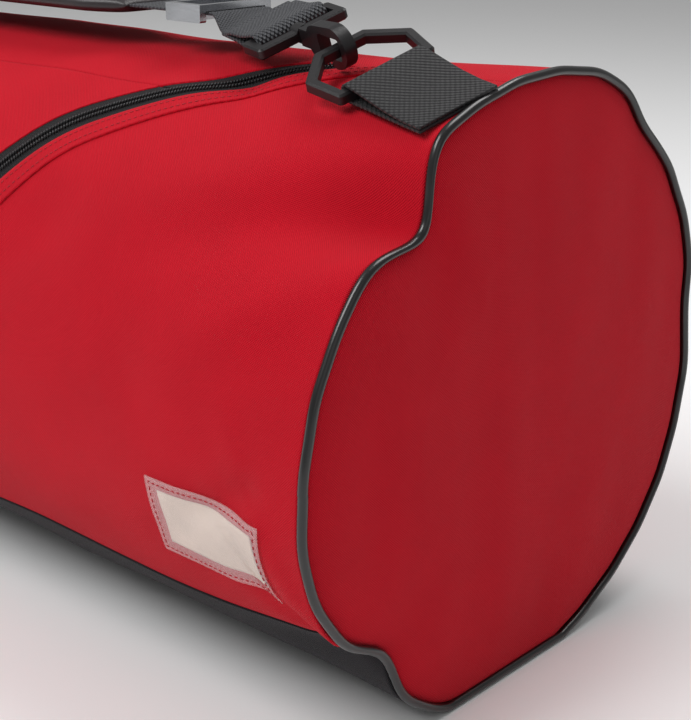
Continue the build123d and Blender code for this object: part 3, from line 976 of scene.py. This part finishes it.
# ---- stage --------------------------------------------------------------------------------
def build_stage():
    """Pale floor, soft lights, white surroundings and the camera."""
    scene = bpy.context.scene
    floor_mesh = bpy.data.meshes.new("floor")
    body = bmesh.new()
    bmesh.ops.create_grid(body, x_segments=1, y_segments=1, size=6)
    body.to_mesh(floor_mesh)
    body.free()
    material, tree, output = new_material("pale_floor")
    shader = add_node(tree, "ShaderNodeBsdfPrincipled", {"Roughness": 0.9})
    shader.inputs["Base Color"].default_value = (0.93, 0.93, 0.93, 1)
    close(tree, output, shader)
    floor_mesh.materials.append(material)
    floor = bpy.data.objects.new("floor", floor_mesh)
    scene.collection.objects.link(floor)

    world = scene.world or bpy.data.worlds.new("studio")
    scene.world = world
    world.use_nodes = True
    tree = world.node_tree
    tree.nodes.clear()
    rays = add_node(tree, "ShaderNodeLightPath")
    seen = add_node(
        tree,
        "ShaderNodeMath",
        {"operation": "MAXIMUM"},
        _0=rays.outputs["Is Camera Ray"],
        _1=rays.outputs["Is Transmission Ray"],
    )
    lit = add_node(tree, "ShaderNodeBackground", {"Strength": 0.3})
    white = add_node(tree, "ShaderNodeBackground", {"Strength": 1.0})
    for node in (lit, white):
        node.inputs["Color"].default_value = (1, 1, 1, 1)
    mix = add_node(
        tree, "ShaderNodeMixShader", _0=seen.outputs[0], _1=lit.outputs[0], _2=white.outputs[0]
    )
    sky = tree.nodes.new("ShaderNodeOutputWorld")
    tree.links.new(mix.outputs[0], sky.inputs["Surface"])

    target = Vector((0, 0, AXIS_Z))
    for name, place, power, size in (
        ("key", (-0.5, -1.3, 1.9), 34, 1.2),
        ("fill", (1.7, -1.0, 0.9), 2, 1.4),
        ("top", (0.3, 0.7, 1.8), 16, 1.0),
    ):
        lamp = bpy.data.lights.new(name, "AREA")
        lamp.energy, lamp.size = power, size
        holder = bpy.data.objects.new(name, lamp)
        holder.location = place
        holder.rotation_euler = (target - Vector(place)).to_track_quat("-Z", "Y").to_euler()
        scene.collection.objects.link(holder)

    camera = bpy.data.objects.new("camera", bpy.data.cameras.new("camera"))
    camera.data.sensor_width = 36
    camera.data.lens = 75.03
    camera.location = Vector((SEAM_X + 0.3595, -0.5131, AXIS_Z + 0.2320))
    camera.rotation_euler = (radians(90 - 19.02), 0, radians(42.32))
    scene.collection.objects.link(camera)
    scene.camera = camera
    scene.view_settings.view_transform = "Standard"


# ---- operators and panel ------------------------------------------------------------------
class HOLDALL_OT_cloth(bpy.types.Operator):
    """Build the walls, ends, piping and mouth flap"""

    bl_idname = "holdall.cloth"
    bl_label = "Cloth"

    def execute(self, context):
        make_materials(context.scene.holdall_cloth, context.scene.holdall_trim)
        build_walls()
        build_end(1)
        build_end(-1)
        return {"FINISHED"}


class HOLDALL_OT_zip(bpy.types.Operator):
    """Build the zip's facing, tapes, coil and stitches"""

    bl_idname = "holdall.zip"
    bl_label = "Zip"

    def execute(self, context):
        build_zip()
        return {"FINISHED"}


class HOLDALL_OT_pocket(bpy.types.Operator):
    """Build the name-card pocket"""

    bl_idname = "holdall.pocket"
    bl_label = "Card pocket"

    def execute(self, context):
        build_pocket()
        return {"FINISHED"}


class HOLDALL_OT_strap(bpy.types.Operator):
    """Build the ring tabs, strap webbing and pad"""

    bl_idname = "holdall.strap"
    bl_label = "Strap"

    def execute(self, context):
        build_tab(1)
        build_tab(-1)
        build_strap()
        return {"FINISHED"}


class HOLDALL_OT_hardware(bpy.types.Operator):
    """Finish the rings, hooks, sliders and adjusters"""

    bl_idname = "holdall.hardware"
    bl_label = "Hardware"

    def execute(self, context):
        build_finishes()
        return {"FINISHED"}


class HOLDALL_OT_stage(bpy.types.Operator):
    """Build the floor, lights and camera"""

    bl_idname = "holdall.stage"
    bl_label = "Stage"

    def execute(self, context):
        build_stage()
        return {"FINISHED"}


class HOLDALL_PT_panel(bpy.types.Panel):
    """Sidebar panel with the settings and the build steps"""

    bl_label = "Holdall"
    bl_space_type = "VIEW_3D"
    bl_region_type = "UI"
    bl_category = "Holdall"

    def draw(self, context):
        for group in (context.scene.holdall_cloth, context.scene.holdall_trim):
            for name in group.__annotations__:
                self.layout.prop(group, name)
        for step in STEPS:
            self.layout.operator(step.bl_idname)


STEPS = (
    HOLDALL_OT_cloth,
    HOLDALL_OT_zip,
    HOLDALL_OT_pocket,
    HOLDALL_OT_strap,
    HOLDALL_OT_hardware,
    HOLDALL_OT_stage,
)
CLASSES = (HoldallCloth, HoldallTrim, *STEPS, HOLDALL_PT_panel)


def register():
    for kind in CLASSES:
        bpy.utils.register_class(kind)
    bpy.types.Scene.holdall_cloth = PointerProperty(type=HoldallCloth)
    bpy.types.Scene.holdall_trim = PointerProperty(type=HoldallTrim)


def unregister():
    del bpy.types.Scene.holdall_trim
    del bpy.types.Scene.holdall_cloth
    for kind in reversed(CLASSES):
        bpy.utils.unregister_class(kind)


def main():
    register()
    bpy.ops.holdall.cloth()
    bpy.ops.holdall.zip()
    bpy.ops.holdall.pocket()
    bpy.ops.holdall.strap()
    bpy.ops.holdall.hardware()
    bpy.ops.holdall.stage()


if __name__ == "__main__":
    main()
